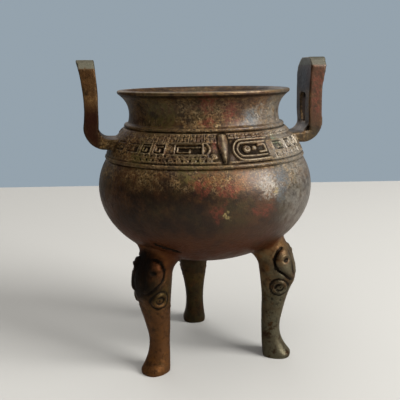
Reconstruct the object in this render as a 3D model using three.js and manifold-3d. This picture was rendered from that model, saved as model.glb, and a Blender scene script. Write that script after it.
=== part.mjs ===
// Bronze ding: a round-bellied tripod vessel with two upright loop handles, cast in one piece.
// Millimetres, +Z up. The three soles stand on z = 0 and the vessel's axis is the Z axis.
// The middle of the front frieze faces -Y and the handles stand on the X axis.

import * as THREE from 'three';
import { mergeVertices } from 'three/addons/utils/BufferGeometryUtils.js';
import Module from 'manifold-3d';

const wasm = await Module();
wasm.setup();

// Driving dimensions
const BELLY_RADIUS = 58;
const RIM_HEIGHT = 148.7;
const OVERALL_HEIGHT = 164.5;
const WALL = 3;
const ROUND_STEPS = 42;

// Belly: two half ellipses that share the widest ring
const BELLY_LEVEL = 97;
const BELLY_DROP = 41;
const BELLY_RISE = 40;
const BELLY_TOP_ANGLE = 0.4;
const BELLY_STEPS = 8;
const BELLY_TOP_STEPS = 2;
const INSIDE_STEPS = 5;

// Shoulder: the frieze band between two cast beads, measured in the radial plane (radius, height)
const BAND_LOW = new THREE.Vector2(BELLY_RADIUS - 4.9, 115.4);
const BAND_HIGH = new THREE.Vector2(BELLY_RADIUS - 15.1, 129.2);
const BAND_BULGE = 0.9;
const BAND_STEPS = 2;
const BEAD_RADIUS = 1.1;
const BEAD_STEPS = 2;
const LOW_BEAD = new THREE.Vector2(BAND_LOW.x - 0.3, BAND_LOW.y - BEAD_RADIUS - 0.2);
const HIGH_BEAD = new THREE.Vector2(BAND_HIGH.x - 0.9, BAND_HIGH.y + BEAD_RADIUS);

// Neck and everted lip
const NECK_FOOT = new THREE.Vector2(BELLY_RADIUS - 17.1, 131.7);
const NECK_WAIST = new THREE.Vector2(BELLY_RADIUS - 18.3, 136);
const NECK_THROAT = BELLY_RADIUS - 18.7;
const LIP_RADIUS = 46.1;
const LIP_DROP = 4.7;
const LIP_THICK = 2;
const LIP_ROUND = 0.6;
const LIP_FLAT = 2.6;
const NECK_STEPS = 4;
const MOUTH_STEPS = 3;

// Legs: [height, inner radius, outer radius, half width] of each station, floor to belly
const LEG_STATIONS = [
  [0, 33.3, 48.4, 6.8],
  [1.5, 33.1, 48.6, 6.9],
  [5, 32.8, 46.1, 6.4],
  [10, 32.5, 43.5, 5.7],
  [17, 32.3, 42.5, 5.4],
  [27, 32.3, 44.2, 6.4],
  [37, 32.5, 47.0, 8.3],
  [46, 31.8, 50.1, 9.2],
  [53, 31.0, 50.4, 9.5],
  [60, 30.2, 48.3, 9.5],
  [70, 29.5, 43.0, 9.0],
];
const LEG_RINGS = [0, 1.5, 5, 10, 17, 25, 32, 38, 43, 47, 51, 55, 60, 65, 70];
const LEG_SIDES = 10;
const LEG_SQUARENESS = 2.4;
const LEG_FILLET_INNER = 9;
const LEG_FILLET_OUTER = 1.2;
const LEG_FILLET_LEFT = 0.14;
// Back, left and right leg in degrees round from the right handle, a little uneven as cast
const LEG_ANGLES = [91, 216, 332.5].map((degrees) => THREE.MathUtils.degToRad(degrees));

// Mask on both flanks of each knee: a curled lobe, its groove, an eye pit and a ring below
const RING_PLACE = new THREE.Vector2(43.5, 42.9);
const RING_RADIUS = 3.2;
const RING_TUBE = 0.95;
const RING_TUBE_SIDES = 4;
const RING_STEPS = 8;
const RING_SEED = 1.3;
const LOBE_PLACE = new THREE.Vector2(45.6, 56.4);
const LOBE_SIZE = new THREE.Vector3(3.9, 1.9, 6.9);
const LOBE_TILT = 0.32;
const LOBE_STEPS = 4;
const EYE_PLACE = new THREE.Vector2(46.6, 58.1);
const EYE_RADIUS = 1.3;
const PIT_STEPS = 3;
const GROOVE_RADIUS = 0.9;
const GROOVE_LINE = [
  [43, 63],
  [41.1, 57.4],
  [42.6, 53.3],
  [46.2, 50.6],
  [49.2, 47.4],
];
const GROOVE_STEPS = 4;
const GROOVE_SIDES = 2;

// Handles: arm, bend and flared upright in the radial plane, and the arched front with its slot
const ARM_ROOT = 44.5;
const ARM_LOW = 118.9;
const ARM_HIGH = 124.3;
const BEND_LEVEL = 130.2;
const HANDLE_INNER = 56.7;
const HANDLE_OUTER = 64.3;
const HANDLE_WAIST = 1.2;
const WAIST_SHARE = 0.45;
const HANDLE_FLARE = 2.1;
const HANDLE_WIDTH = 21;
const HANDLE_TOP_WIDTH = 23;
const SLOT_WIDTH = 7.5;
const SLOT_LOW = 129.6;
const SLOT_HIGH = 145.3;
const SLOT_CORNER = 2.5;
const BEND_STEPS = 3;
const CORNER_STEPS = 2;
const CUT_MARGIN = 1;

// The handles' bevelled crown, as steps inwards from the side and down from the top
const CROWN = [
  [0, 4.7],
  [3.3, 1.3],
  [5.6, 0],
];

// Frieze, in millimetres along the band from the flange and up across it
const FRIEZE_RADIUS = 48;
const FLANGE_WIDTH = 4.6;
const FLANGE_PROUD = 1.5;
const FLANGE_FOOT = 0.6;
const FLANGE_HEAD = 15.2;
const FLANGE_STEPS = 4;
const LEAF_START = 0.3;
const LEAF_SPAN = 0.66;
const RIDGE_SIDES = 4;
const RIDGE_WIDTH = 1.5;
const RIDGE_PROUD = 0.75;
const RIDGE_SINK = 0.15;
const RIDGE_ROOT = 1.1;
const BROAD_SCROLL = { near: 4.6, far: 23, low: 2.4, high: 13 };
const SMALL_SCROLL = { near: 5.4, far: 20.5, low: 4.4, high: 12 };
const SCROLL_CURL = 0.3;
const SCROLL_LINE_GAP = 2.3;
const SCROLL_STEPS = 6;
const EYE_BOSS_PLACE = [11.5, 8];
const EYE_BOSS_RADIUS = 1.7;
const EYE_BOSS_SINK = 0.6;
const EYE_BOSS_STEPS = 3;
const HOOK_STARTS = [25, 38.5];
const HOOK_LENGTHS = [11.5, 10];
const HOOK_LOW = 4.6;
const HOOK_HIGH = 11;
const HOOK_TURN = 1;
const HOOK_TIP = 0.55;
const HOOK_STEPS = 6;

// Vertices closer together than this are one
const MERGE_DISTANCE = 1e-3;

// A closed solid from a three.js geometry, with shared vertices merged and its faces turned outwards
function solid(geometry) {
  geometry.deleteAttribute('normal');
  geometry.deleteAttribute('uv');
  const merged = mergeVertices(geometry, MERGE_DISTANCE);
  const vertProperties = Float32Array.from(merged.attributes.position.array);
  const corners = Array.from(merged.index.array);
  const triangles = [];
  for (let i = 0; i < corners.length; i += 3) {
    const triangle = corners.slice(i, i + 3);
    if (new Set(triangle).size === 3) triangles.push(triangle);
  }
  const corner = (index) => new THREE.Vector3().fromArray(vertProperties, 3 * index);
  const volume = triangles.reduce((sum, [a, b, c]) => sum + corner(a).dot(corner(b).cross(corner(c))), 0);
  if (volume < 0) triangles.forEach((triangle) => triangle.reverse());
  const triVerts = Uint32Array.from(triangles.flat());
  return new wasm.Manifold(new wasm.Mesh({ numProp: 3, vertProperties, triVerts }));
}

// A closed loft: the unit cylinder with every vertex moved to place(along, angle, spread)
function loft(sides, steps, place) {
  const geometry = new THREE.CylinderGeometry(1, 1, 1, sides, steps);
  const position = geometry.attributes.position;
  for (let i = 0; i < position.count; i += 1) {
    const vertex = new THREE.Vector3().fromBufferAttribute(position, i);
    const angle = Math.atan2(vertex.x, vertex.z);
    const spread = Math.hypot(vertex.x, vertex.z);
    const moved = place(vertex.y + 0.5, angle, spread);
    position.setXYZ(i, moved.x, moved.y, moved.z);
  }
  return geometry;
}

// A solid of revolution about Z from a profile of (radius, height) points that starts and ends on the axis
function revolve(profile) {
  return solid(new THREE.LatheGeometry(profile, ROUND_STEPS).rotateX(Math.PI / 2));
}

// A point at an angle round the vessel, counted from the front towards +X
function around(angle, radius, height) {
  return new THREE.Vector3(radius * Math.sin(angle), -radius * Math.cos(angle), height);
}

// Points on a half ellipse of the belly, wall thinner than the outside by inset
function bellyArc(semiHeight, inset, from, to, steps) {
  const points = [];
  for (let i = 0; i <= steps; i += 1) {
    const angle = THREE.MathUtils.lerp(from, to, i / steps);
    const radius = (BELLY_RADIUS - inset) * Math.max(Math.cos(angle), 0);
    points.push(new THREE.Vector2(radius, BELLY_LEVEL + (semiHeight - inset) * Math.sin(angle)));
  }
  points[0].x = from === -Math.PI / 2 ? 0 : points[0].x;
  return points;
}

// The belly's outline from the axis to the shoulder, wall thinner than the outside by inset
function bellyOutline(inset, steps) {
  const lower = bellyArc(BELLY_DROP, inset, -Math.PI / 2, 0, steps);
  const upper = bellyArc(BELLY_RISE, inset, 0, BELLY_TOP_ANGLE, BELLY_TOP_STEPS);
  return [...lower, ...upper.slice(1)];
}

// The frieze band as a shallow arc between its two beads
const bandAcross = BAND_HIGH.clone().sub(BAND_LOW);
const bandOutwards = new THREE.Vector2(bandAcross.y, -bandAcross.x).normalize();
const bandCrown = BAND_LOW.clone().lerp(BAND_HIGH, 0.5).addScaledVector(bandOutwards, 2 * BAND_BULGE);
const band = new THREE.QuadraticBezierCurve(BAND_LOW, bandCrown, BAND_HIGH);
const bandLength = band.getLength();

// A cast bead: a half round standing out from a point of the profile
function bead(centre) {
  const points = [];
  for (let i = 0; i <= BEAD_STEPS; i += 1) {
    const angle = THREE.MathUtils.lerp(-Math.PI / 2, Math.PI / 2, i / BEAD_STEPS);
    const offset = new THREE.Vector2(Math.cos(angle), Math.sin(angle)).multiplyScalar(BEAD_RADIUS);
    points.push(offset.add(centre));
  }
  return points;
}

// The concave neck from the upper bead to the lip, moved inwards by inset
function neckCurve(inset, lipRadius, lipHeight) {
  const foot = new THREE.Vector2(NECK_FOOT.x - inset, NECK_FOOT.y);
  const waist = new THREE.Vector2(NECK_WAIST.x - inset, NECK_WAIST.y);
  const throat = new THREE.Vector2(NECK_THROAT - inset, lipHeight - LIP_DROP);
  return new THREE.CubicBezierCurve(foot, waist, throat, new THREE.Vector2(lipRadius, lipHeight));
}

// The vessel's outside, closed over the mouth
function outerBody() {
  const lipUnder = RIM_HEIGHT - LIP_THICK;
  const profile = [
    ...bellyOutline(0, BELLY_STEPS),
    ...bead(LOW_BEAD),
    ...band.getPoints(BAND_STEPS),
    ...bead(HIGH_BEAD),
    ...neckCurve(0, LIP_RADIUS, lipUnder).getPoints(NECK_STEPS),
    new THREE.Vector2(LIP_RADIUS, RIM_HEIGHT - LIP_THICK / 3),
    new THREE.Vector2(LIP_RADIUS - LIP_ROUND, RIM_HEIGHT),
    new THREE.Vector2(0, RIM_HEIGHT),
  ];
  return revolve(profile);
}

// The empty inside, running on above the rim so that it opens the mouth
function cavity() {
  const mouth = LIP_RADIUS - LIP_ROUND - LIP_FLAT;
  const shoulder = BAND_HIGH.clone().addScaledVector(bandOutwards, -WALL);
  const profile = [
    ...bellyOutline(WALL, INSIDE_STEPS),
    shoulder,
    ...neckCurve(WALL, mouth, RIM_HEIGHT).getPoints(MOUTH_STEPS),
    new THREE.Vector2(mouth, OVERALL_HEIGHT),
    new THREE.Vector2(0, OVERALL_HEIGHT),
  ];
  return revolve(profile);
}

const legSection = new THREE.CubicInterpolant(
  LEG_STATIONS.map(([height]) => height),
  LEG_STATIONS.flatMap(([, ...sizes]) => sizes),
  LEG_STATIONS[0].length - 1,
);

// Inner radius, outer radius and half width of a leg at a height
function legSizes(height) {
  const [inner, outer, half] = legSection.evaluate(height);
  return { centre: (inner + outer) / 2, depth: (outer - inner) / 2, half };
}

// How far a point stands outside the belly's surface
function bellyClearance(radius, height) {
  const slope = new THREE.Vector2(radius / BELLY_RADIUS ** 2, (height - BELLY_LEVEL) / BELLY_DROP ** 2);
  const level = Math.hypot(radius / BELLY_RADIUS, (height - BELLY_LEVEL) / BELLY_DROP);
  return ((level - 1) * level) / slope.length();
}

// How much a leg swells where it runs into the belly, wider on the inside of the leg than on the knee.
// The last bit of the fillet is left off, so that the two surfaces meet in a clean line.
function filletSwell(angle, clearance) {
  const outwards = (1 + Math.cos(angle)) / 2;
  const fillet = THREE.MathUtils.lerp(LEG_FILLET_INNER, LEG_FILLET_OUTER, outwards);
  const rest = fillet - THREE.MathUtils.clamp(clearance, LEG_FILLET_LEFT * fillet, fillet);
  return fillet - Math.sqrt(fillet ** 2 - rest ** 2);
}

// A point of a leg's side, as (radius, sideways, height) with angle 0 on the knee
function legSide(height, angle, spread) {
  const { centre, depth, half } = legSizes(height);
  const power = 2 / LEG_SQUARENESS;
  const away = Math.sign(Math.cos(angle)) * Math.abs(Math.cos(angle)) ** power;
  const aside = Math.sign(Math.sin(angle)) * Math.abs(Math.sin(angle)) ** power;
  const swell = filletSwell(angle, bellyClearance(Math.hypot(centre + depth * away, half * aside), height));
  const radius = centre + spread * (depth * away + swell * Math.cos(angle));
  return new THREE.Vector3(radius, spread * (half * aside + swell * Math.sin(angle)), height);
}

// Sideways reach of a leg's flank at a place (radius, height)
function flankReach(place) {
  const { centre, depth, half } = legSizes(place.y);
  const away = Math.min(Math.abs(place.x - centre) / depth, 1);
  return half * (1 - away ** LEG_SQUARENESS) ** (1 / LEG_SQUARENESS);
}

// The plain leg, lofted through its rings
function legCore() {
  const spans = LEG_RINGS.length - 1;
  const place = (along, angle, spread) => legSide(LEG_RINGS[Math.round(along * spans)], angle, spread);
  return loft(LEG_SIDES, spans, place);
}

// A ball or ellipsoid on a flank, side = +1 or -1
function flankBall(place, size, side, tilt, steps) {
  const ball = new THREE.SphereGeometry(1, 2 * steps, steps).scale(size.x, size.y, size.z).rotateY(-tilt);
  return ball.translate(place.x, side * flankReach(place), place.y);
}

// The curled lobe of the mask
function flankLobe(side) {
  return flankBall(LOBE_PLACE, LOBE_SIZE, side, LOBE_TILT, LOBE_STEPS);
}

// The eye pit in the lobe, as the ball that cuts it
function flankEye(side) {
  const size = new THREE.Vector3(EYE_RADIUS, LOBE_SIZE.y + EYE_RADIUS, EYE_RADIUS);
  return flankBall(EYE_PLACE, size, side, 0, PIT_STEPS);
}

// The S-shaped groove round the lobe, as the bar that cuts it
function flankGroove(side) {
  const places = GROOVE_LINE.map(([radius, height]) => {
    const place = new THREE.Vector2(radius, height);
    return new THREE.Vector3(radius, side * flankReach(place), height);
  });
  const section = new THREE.Shape().absarc(0, 0, GROOVE_RADIUS, 0, 2 * Math.PI);
  const extrudePath = new THREE.CatmullRomCurve3(places);
  const options = { steps: GROOVE_STEPS, curveSegments: GROOVE_SIDES, extrudePath };
  return new THREE.ExtrudeGeometry(section, options);
}

// The raised ring below the lobe
function flankRing(side) {
  const ring = new THREE.TorusGeometry(RING_RADIUS, RING_TUBE, RING_TUBE_SIDES, RING_STEPS);
  return ring.rotateX(Math.PI / 2).translate(RING_PLACE.x, side * flankReach(RING_PLACE), RING_PLACE.y);
}

// The knob in the middle of the ring
function flankSeed(side) {
  const size = new THREE.Vector3(RING_SEED, RING_SEED, RING_SEED);
  return flankBall(RING_PLACE, size, side, 0, PIT_STEPS);
}

// One leg with its mask, turned round the axis from +X
function leg(turn) {
  const placed = (geometry) => solid(geometry.rotateZ(turn));
  let body = placed(legCore());
  for (const side of [-1, 1]) {
    body = body.add(placed(flankLobe(side)));
    body = body.subtract(placed(flankGroove(side)));
    body = body.subtract(placed(flankEye(side)));
    body = body.add(placed(flankRing(side)));
    body = body.add(placed(flankSeed(side)));
  }
  return body;
}

// The handle's J outline in the radial plane: arm, bend and flared upright
function handleSide() {
  const outerBend = BEND_LEVEL - ARM_LOW;
  const innerBend = BEND_LEVEL - ARM_HIGH;
  const outerWaist = HANDLE_OUTER - 2 * HANDLE_WAIST;
  const waistLevel = THREE.MathUtils.lerp(BEND_LEVEL, OVERALL_HEIGHT, WAIST_SHARE);
  const shape = new THREE.Shape();
  shape.moveTo(ARM_ROOT, ARM_LOW);
  shape.absarc(HANDLE_OUTER - outerBend, BEND_LEVEL, outerBend, -Math.PI / 2, 0);
  shape.quadraticCurveTo(outerWaist, waistLevel, HANDLE_OUTER + HANDLE_FLARE, OVERALL_HEIGHT);
  shape.lineTo(HANDLE_INNER + HANDLE_FLARE / 3, OVERALL_HEIGHT);
  shape.quadraticCurveTo(HANDLE_INNER - HANDLE_WAIST, waistLevel, HANDLE_INNER, BEND_LEVEL);
  shape.absarc(HANDLE_INNER - innerBend, BEND_LEVEL, innerBend, 0, -Math.PI / 2, true);
  shape.lineTo(ARM_ROOT, ARM_HIGH);
  return shape;
}

// The handle's front outline: a tall upright with a bevelled crown, and the slot through its lower half
function handleFront() {
  const half = HANDLE_WIDTH / 2;
  const topHalf = HANDLE_TOP_WIDTH / 2;
  const crown = CROWN.map(([inwards, down]) => [topHalf - inwards, OVERALL_HEIGHT - down]);
  const shape = new THREE.Shape();
  shape.moveTo(-half, ARM_LOW - CUT_MARGIN);
  shape.lineTo(half, ARM_LOW - CUT_MARGIN);
  shape.lineTo(half, BEND_LEVEL);
  crown.forEach(([aside, height]) => shape.lineTo(aside, height));
  crown.reverse().forEach(([aside, height]) => shape.lineTo(-aside, height));
  shape.lineTo(-half, BEND_LEVEL);
  shape.holes.push(slotOutline());
  return shape;
}

// The slot's outline, with rounded corners
function slotOutline() {
  const half = SLOT_WIDTH / 2 - SLOT_CORNER;
  const low = SLOT_LOW + SLOT_CORNER;
  const high = SLOT_HIGH - SLOT_CORNER;
  const quarter = Math.PI / 2;
  const path = new THREE.Path();
  path.absarc(-half, low, SLOT_CORNER, 2 * quarter, 3 * quarter);
  path.absarc(half, low, SLOT_CORNER, 3 * quarter, 4 * quarter);
  path.absarc(half, high, SLOT_CORNER, 0, quarter);
  path.absarc(-half, high, SLOT_CORNER, quarter, 2 * quarter);
  path.closePath();
  return path;
}

// One handle, turned round the axis from +X: the J outline and the front outline, cut from one another
function handle(turn) {
  const reach = 2 * HANDLE_OUTER;
  const depth = HANDLE_TOP_WIDTH + 2 * CUT_MARGIN;
  const sideOptions = { bevelEnabled: false, curveSegments: BEND_STEPS, depth };
  const frontOptions = { bevelEnabled: false, curveSegments: CORNER_STEPS, depth: reach };
  const side = new THREE.ExtrudeGeometry(handleSide(), sideOptions);
  side.translate(0, 0, -depth / 2).rotateX(Math.PI / 2);
  const front = new THREE.ExtrudeGeometry(handleFront(), frontOptions);
  front.rotateX(Math.PI / 2).rotateZ(Math.PI / 2);
  return solid(side.rotateZ(turn)).intersect(solid(front.rotateZ(turn)));
}

// A point of the frieze: along and across the band in millimetres, and proud of its surface
function friezePoint(along, across, proud) {
  const share = across / bandLength;
  const place = band.getPointAt(THREE.MathUtils.clamp(share, 0, 1));
  const tangent = band.getTangentAt(THREE.MathUtils.clamp(share, 0, 1));
  const radius = place.x + proud * tangent.y;
  return around(along / FRIEZE_RADIUS, radius, place.y - proud * tangent.x);
}

// A roof-shaped ridge on the frieze along a flat curve, with its width and height given along it
function ridge(curve, steps, width, proud) {
  const place = (along, angle, spread) => {
    const middle = curve.getPoint(along);
    const heading = curve.getTangent(along);
    const aside = (spread * Math.sin(angle) * width(along)) / 2;
    const lift = spread * Math.cos(angle);
    const height = lift > 0 ? lift * proud(along) : lift * RIDGE_ROOT;
    const rise = spread === 0 ? 0 : height - RIDGE_SINK;
    return friezePoint(middle.x - heading.y * aside, middle.y + heading.x * aside, rise);
  };
  return loft(RIDGE_SIDES, steps, place);
}

// A flat curve through (along, across) places
function friezeLine(places) {
  return new THREE.CatmullRomCurve3(places.map(([along, across]) => new THREE.Vector3(along, across, 0)));
}

// The leaf-shaped flange in the middle of a panel, broad above and pointed below
function flange() {
  const line = friezeLine([[0, FLANGE_HEAD], [0, (FLANGE_HEAD + FLANGE_FOOT) / 2], [0, FLANGE_FOOT]]);
  const width = (along) => FLANGE_WIDTH * Math.sin(Math.PI * (LEAF_START + LEAF_SPAN * along));
  const proud = (along) => (FLANGE_PROUD * (1 + Math.sin(Math.PI * along))) / 2;
  return ridge(line, FLANGE_STEPS, width, proud);
}

// One line of a C scroll beside the flange, drawn inwards by inset
function scrollLine(scroll, inset, hand) {
  const near = scroll.near + inset;
  const low = scroll.low + inset;
  const high = scroll.high - inset;
  const bend = (high - low) / 2;
  const curl = SCROLL_CURL * bend;
  const places = [
    [scroll.far, high],
    [near + bend, high],
    [near + curl, high - curl],
    [near, high - bend],
    [near + curl, low + curl],
    [near + bend, low],
    [scroll.far - 2 * inset, low],
  ];
  return friezeLine(places.map(([along, across]) => [hand * along, across]));
}

// A hook of the creature's body: a bar that turns down and back under itself
function hookLine(start, length, hand) {
  const end = start + length;
  const middle = (HOOK_LOW + HOOK_HIGH) / 2;
  const places = [
    [start, HOOK_HIGH],
    [end - HOOK_TURN, HOOK_HIGH],
    [end, middle + HOOK_TURN / 2],
    [end - HOOK_TURN, HOOK_LOW],
    [start + 1.5 * HOOK_TURN, HOOK_LOW],
    [start + 2 * HOOK_TURN, middle],
    [start + HOOK_TIP * length, middle],
  ];
  return friezeLine(places.map(([along, across]) => [hand * along, across]));
}

// The creature's eye inside a scroll
function eyeBoss(hand) {
  const [along, across] = EYE_BOSS_PLACE;
  const place = friezePoint(hand * along, across, -EYE_BOSS_SINK);
  const ball = new THREE.SphereGeometry(EYE_BOSS_RADIUS, 2 * EYE_BOSS_STEPS, EYE_BOSS_STEPS + 1);
  return ball.translate(place.x, place.y, place.z);
}

// One side of a frieze panel: a C scroll with its eye, and the hooks behind it
function panelSide(hand, scroll, insets, hookCount) {
  const width = () => RIDGE_WIDTH;
  const proud = () => RIDGE_PROUD;
  const scrolls = insets.map((inset) => ridge(scrollLine(scroll, inset, hand), SCROLL_STEPS, width, proud));
  const hooks = HOOK_STARTS.slice(0, hookCount).map((start, i) => {
    return ridge(hookLine(start, HOOK_LENGTHS[i], hand), HOOK_STEPS, width, proud);
  });
  return [eyeBoss(hand), ...scrolls, ...hooks];
}

// The front panel: a broad double scroll on the right, a small one on the left, and two hooks on each side
function frontPanel() {
  const right = panelSide(1, BROAD_SCROLL, [0, SCROLL_LINE_GAP], 2);
  const left = panelSide(-1, SMALL_SCROLL, [0, SCROLL_LINE_GAP], 2);
  return [flange(), ...right, ...left];
}

// The plainer panel at the back
function backPanel() {
  const pieces = [flange(), ...panelSide(1, BROAD_SCROLL, [0], 1), ...panelSide(-1, BROAD_SCROLL, [0], 1)];
  return pieces.map((piece) => piece.rotateZ(Math.PI));
}

// The whole casting: outside, legs, handles and carving joined, and the inside cut out of it
function vessel() {
  let body = outerBody();
  for (const angle of LEG_ANGLES) {
    body = body.add(leg(angle));
  }
  for (const turn of [0, Math.PI]) {
    body = body.add(handle(turn));
  }
  for (const piece of [...frontPanel(), ...backPanel()]) {
    body = body.add(solid(piece));
  }
  return body.subtract(cavity());
}

// The solid back as a three.js geometry
function geometryOf(body) {
  const mesh = body.getMesh();
  const geometry = new THREE.BufferGeometry();
  geometry.setAttribute('position', new THREE.BufferAttribute(mesh.vertProperties, 3));
  geometry.setIndex(new THREE.BufferAttribute(mesh.triVerts, 1));
  geometry.computeVertexNormals();
  return geometry;
}

const bronze = new THREE.MeshStandardMaterial({ color: 0x4b3a2a, roughness: 0.45, metalness: 0.85 });
const ding = new THREE.Mesh(geometryOf(vessel()), bronze);
ding.name = 'ding_vessel';

const part = new THREE.Group();
part.add(ding);

export default part;
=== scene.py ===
"""Looks of the bronze ding: one casting with its carving, patina and worn places, painted shade in its
hollows and painted sheen, highlights and reflection on its right, on a plain studio floor.
"""
from math import comb, cos, pi, radians, sin

import bpy
from mathutils import Matrix, Vector, kdtree, noise
import numpy as np
from numpy.linalg import norm


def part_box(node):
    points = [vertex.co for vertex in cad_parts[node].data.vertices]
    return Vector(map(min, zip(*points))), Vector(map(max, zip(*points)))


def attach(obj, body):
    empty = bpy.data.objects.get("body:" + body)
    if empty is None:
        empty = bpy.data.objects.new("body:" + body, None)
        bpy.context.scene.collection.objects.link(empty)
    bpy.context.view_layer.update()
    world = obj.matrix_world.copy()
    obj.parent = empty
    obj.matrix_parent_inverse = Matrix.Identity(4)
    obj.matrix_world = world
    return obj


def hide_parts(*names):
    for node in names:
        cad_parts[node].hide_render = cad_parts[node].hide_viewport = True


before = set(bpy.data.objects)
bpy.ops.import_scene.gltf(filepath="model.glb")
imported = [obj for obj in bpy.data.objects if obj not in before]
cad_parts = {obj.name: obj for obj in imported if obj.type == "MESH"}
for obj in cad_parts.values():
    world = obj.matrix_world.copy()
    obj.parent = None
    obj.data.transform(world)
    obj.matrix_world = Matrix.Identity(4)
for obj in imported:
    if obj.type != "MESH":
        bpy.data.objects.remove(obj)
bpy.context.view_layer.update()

# Driving sizes in millimetres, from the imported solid
NODE = "ding_vessel"
MM = 0.001
node_low, node_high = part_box(NODE)
BELLY_RADIUS = (node_high.y - node_low.y) / 2 / MM
OVERALL_HEIGHT = node_high.z / MM
WALL = 3.0

# Belly: two half ellipses that share the widest ring
BELLY_LEVEL = 97.0
BELLY_DROP = 41.0
BELLY_RISE = 40.0
BELLY_TOP_ANGLE = 0.4
BELLY_TOP = 112.0

# Casting crease beside the left leg's root: degrees from the front, and heights
CREASE_ANGLES = (-44.0, -27.0)
CREASE_LEVELS = (74.2, 69.8)
CREASE_DEPTH = 1.0
CREASE_WIDTH = 0.8

# Shoulder band between two beads, as (radius, height)
BAND_LOW = np.array((BELLY_RADIUS - 4.9, 115.4))
BAND_HIGH = np.array((BELLY_RADIUS - 15.1, 129.2))
BAND_BULGE = 0.9
BEAD_RADIUS = 1.1

# Neck and everted lip
NECK_FOOT = np.array((BELLY_RADIUS - 17.1, 131.7))
NECK_WAIST = np.array((BELLY_RADIUS - 18.3, 136.0))
NECK_THROAT = BELLY_RADIUS - 18.7
LIP_RADIUS = 46.1
LIP_DROP = 4.7
LIP_THICK = 2.0
LIP_ROUND = 0.6
LIP_FLAT = 2.6
RIM_HEIGHT = 148.7

# Mesh density round the vessel: the carved band is finer than the plain walls
PLAIN_COUNT = 180
BAND_COUNT = 900
BAND_RINGS = 48
FRIEZE_RADIUS = 48.0

# Legs: height, inner radius, outer radius and half width of each station
LEG_STATIONS = np.array((
    (0, 33.3, 48.4, 6.8),
    (1.5, 33.1, 48.6, 6.9),
    (5, 32.8, 46.1, 6.4),
    (10, 32.5, 43.5, 5.7),
    (17, 32.3, 42.5, 5.4),
    (27, 32.3, 44.2, 6.4),
    (37, 32.5, 47.0, 8.3),
    (46, 31.8, 50.1, 9.2),
    (53, 31.0, 50.4, 9.5),
    (60, 30.2, 48.3, 9.5),
    (70, 29.5, 43.0, 9.0),
))
LEG_SQUARENESS = 2.4
LEG_FILLET_INNER = 9.0
LEG_FILLET_OUTER = 1.6
LEG_SIDES = 68
LEG_ANGLES = tuple(radians(angle) for angle in (91.0, 216.0, 332.5))
BACK, LEFT, RIGHT = range(3)

# Mask on the knee's flanks, as (radius, height)
LOBE_SPINE = np.array(((45.0, 61.6), (45.4, 58.2), (46.6, 53.9), (49.4, 48.2)))
LOBE_WIDTHS = (2.9, 3.7, 3.1, 1.0)
LOBE_PROUD = 1.1
GROOVE_LINE = np.array(((44.4, 64.6), (42.4, 62.2), (41.1, 57.6), (42.6, 53.3), (46.2, 50.6), (49.4, 47.2)))
GROOVE_DEPTH = 1.2
GROOVE_WIDTH = 1.0
EYE_PLACE = np.array((46.6, 58.1))
LID_LINE = np.array(((44.0, 59.2), (45.6, 60.6), (47.6, 60.0)))
RING_PLACE = np.array((43.5, 42.9))
RING_RADIUS = 3.2

# Handles, in the radial plane and from the front
ARM_ROOT = 44.5
ARM_LOW = 118.9
ARM_HIGH = 124.3
BEND_LEVEL = 130.2
HANDLE_INNER = 56.7
HANDLE_OUTER = 64.3
HANDLE_WAIST = 1.2
HANDLE_FLARE = 2.1
HANDLE_WIDTH = 21.0
HANDLE_TOP_WIDTH = 23.0
CROWN = np.array(((0, 4.7), (3.3, 1.3), (5.6, 0)))
SLOT_WIDTH = 7.5
SLOT_LOW = 129.6
SLOT_HIGH = 145.3
SLOT_CORNER = 2.5
CUT_MIDDLE = 55.0
CUT_REACH = 30.0
HANDLE_VOXEL = 0.66
PIT_PLACE = np.array((55.9, -9.6, 126.2))
PIT_RADIUS = 1.9
PIT_DEPTH = 1.5

# Patina colours, with painted shade, sheen, highlights and reflection among them, as linear red, green and
# blue
DARK_BROWN = (0.024, 0.011, 0.004)
WARM_BROWN = (0.066, 0.029, 0.010)
DEEP_BROWN = (0.010, 0.005, 0.003)
SMOOTH_BROWN = (0.036, 0.018, 0.008)
GOLDEN_BROWN = (0.072, 0.035, 0.012)
TAWNY = (0.190, 0.135, 0.066)
MOSS = (0.075, 0.056, 0.014)
OLIVE = (0.042, 0.031, 0.009)
OLIVE_GREY = (0.084, 0.076, 0.048)
DARK_OLIVE = (0.024, 0.020, 0.010)
RED_BROWN = (0.060, 0.022, 0.008)
LEG_RED = (0.085, 0.037, 0.014)
RUST = (0.125, 0.050, 0.013)
EMBER = (0.075, 0.022, 0.006)
CUPRITE = (0.130, 0.028, 0.015)
CUPRITE_DARK = (0.022, 0.006, 0.003)
OCHRE = (0.175, 0.100, 0.036)
PALE_CRUST = (0.330, 0.240, 0.125)
GOLD = (0.360, 0.270, 0.110)
# Painted bluish reflection of the window light
BLUISH_REFLECTION = (0.066, 0.073, 0.077)
MALACHITE = (0.080, 0.150, 0.085)
# Buff patina with painted top light
BUFF_AND_TOP_LIGHT = (0.092, 0.090, 0.066)
# Pale dust with painted sheen, also used for painted highlights
DUST_AND_SHEEN = (0.262, 0.244, 0.208)
RUBBED = (0.200, 0.150, 0.085)
# Near-black of dirt and painted shade in recesses; also the left knee's black patina
BLACK_DIRT_AND_SHADE = (0.006, 0.004, 0.0025)

# Shine and grain of the patina, the shine by shader socket
SHINE = {"Metallic": 0.6, "Specular IOR Level": 0.2, "Coat Roughness": 0.4}
SHINE["Specular Tint"] = (0.45, 0.40, 0.35, 1)
LEAST_ROUGHNESS = 0.34
GRAIN_STRENGTH = 0.55
GRAIN_HEIGHT = 0.5

# Thin wax on the upper body's patina, most on the right and none in the sunk carving
COAT = 0.5

# Camera, from the photograph's perspective
FOCAL_PIXELS = 612.2
IMAGE_PIXELS = 400
SENSOR_WIDTH = 36.0
CAMERA_DISTANCE = 334.2
CAMERA_HEIGHT = 159.7
CAMERA_AZIMUTH = radians(-10.72)
CAMERA_PITCH = radians(12.19)
CAMERA_YAW = radians(-0.47)
CAMERA_ROLL = radians(-1.05)

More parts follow.
